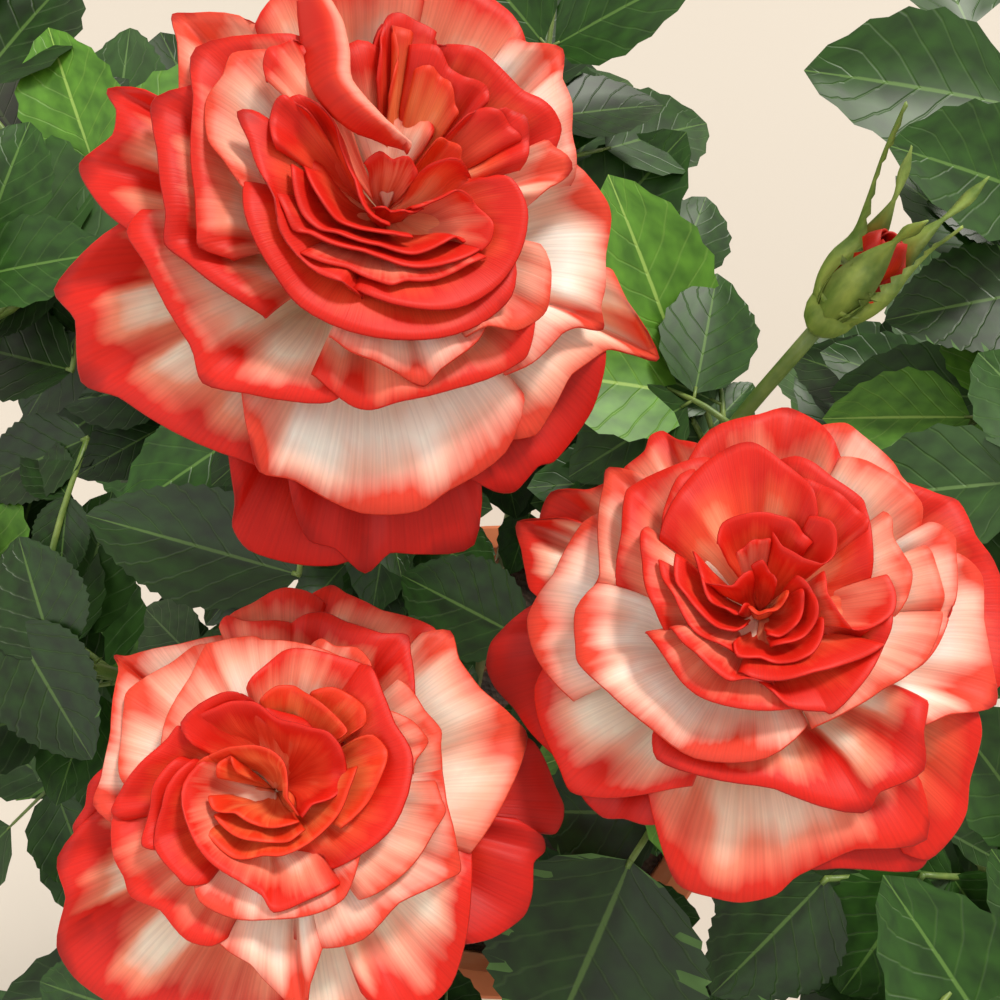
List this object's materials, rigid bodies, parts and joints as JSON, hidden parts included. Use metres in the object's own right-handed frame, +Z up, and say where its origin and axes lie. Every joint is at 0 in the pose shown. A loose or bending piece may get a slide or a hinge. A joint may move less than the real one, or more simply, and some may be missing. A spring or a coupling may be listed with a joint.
{
  "type": "potted rose bush",
  "caption": "Rose bush in a plain clay pot: arching canes, a full crown of compound leaves, wide open two-tone blooms and a bud.",
  "frame": {"origin": "middle of the pot's flat underside", "axes": "+Z up the trunk; +X to the right and +Y away, as the picture looks down on the plant"},
  "size_m": [0.6375, 0.6386, 0.8156],
  "materials": {
    "clay": "matte",
    "soil": "matte",
    "old_bark": "matte",
    "green_bark": "satin",
    "foliage": "satin",
    "petals": "satin",
    "bud": "satin"
  },
  "bodies": {
    "root": {"pot": "clay", "soil": "soil", "trunk": "old_bark", "cane_1": "green_bark", "cane_2": "green_bark", "cane_3": "green_bark", "cane_4": "green_bark", "cane_5": "green_bark", "cane_6": "green_bark", "side_branch_1": "green_bark", "side_branch_2": "green_bark", "side_branch_3": "green_bark", "side_branch_4": "green_bark", "side_branch_5": "green_bark", "foliage_1": "foliage", "foliage_2": "foliage", "foliage_3": "foliage", "foliage_4": "foliage", "foliage_5": "foliage", "foliage_6": "foliage", "foliage_7": "foliage", "foliage_8": "foliage", "foliage_9": "foliage", "foliage_10": "foliage", "foliage_11": "foliage", "bloom_1": "petals", "bloom_2": "petals", "bloom_3": "petals", "bud": "bud"}
  },
  "joints": []
}
